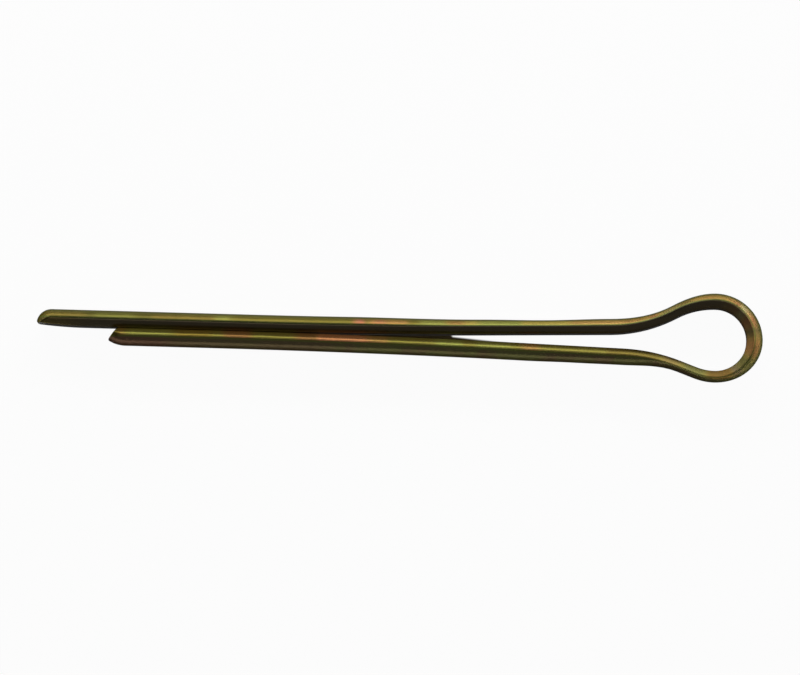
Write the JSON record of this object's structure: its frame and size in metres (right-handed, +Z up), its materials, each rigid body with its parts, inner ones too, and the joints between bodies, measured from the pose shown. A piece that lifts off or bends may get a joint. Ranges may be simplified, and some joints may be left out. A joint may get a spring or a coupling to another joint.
{
  "type": "cotter pin",
  "caption": "Split cotter pin bent from half-round wire: a round eye, reverse-bent necks and two closed legs, one longer, in yellow zinc plate.",
  "frame": {"origin": "on the axis of the closed shank, where the short leg reaches its full section", "axes": "+X along the shank towards the eye, +Y across the split towards the long leg, +Z up, square to the plane of the eye; the pin lies flat"},
  "size_m": [0.0638, 0.0078, 0.0028],
  "materials": {
    "wire": "yellow zinc plate, satin to glossy, with a faint rainbow sheen"
  },
  "bodies": {
    "root": {"pin": "wire"}
  },
  "joints": []
}
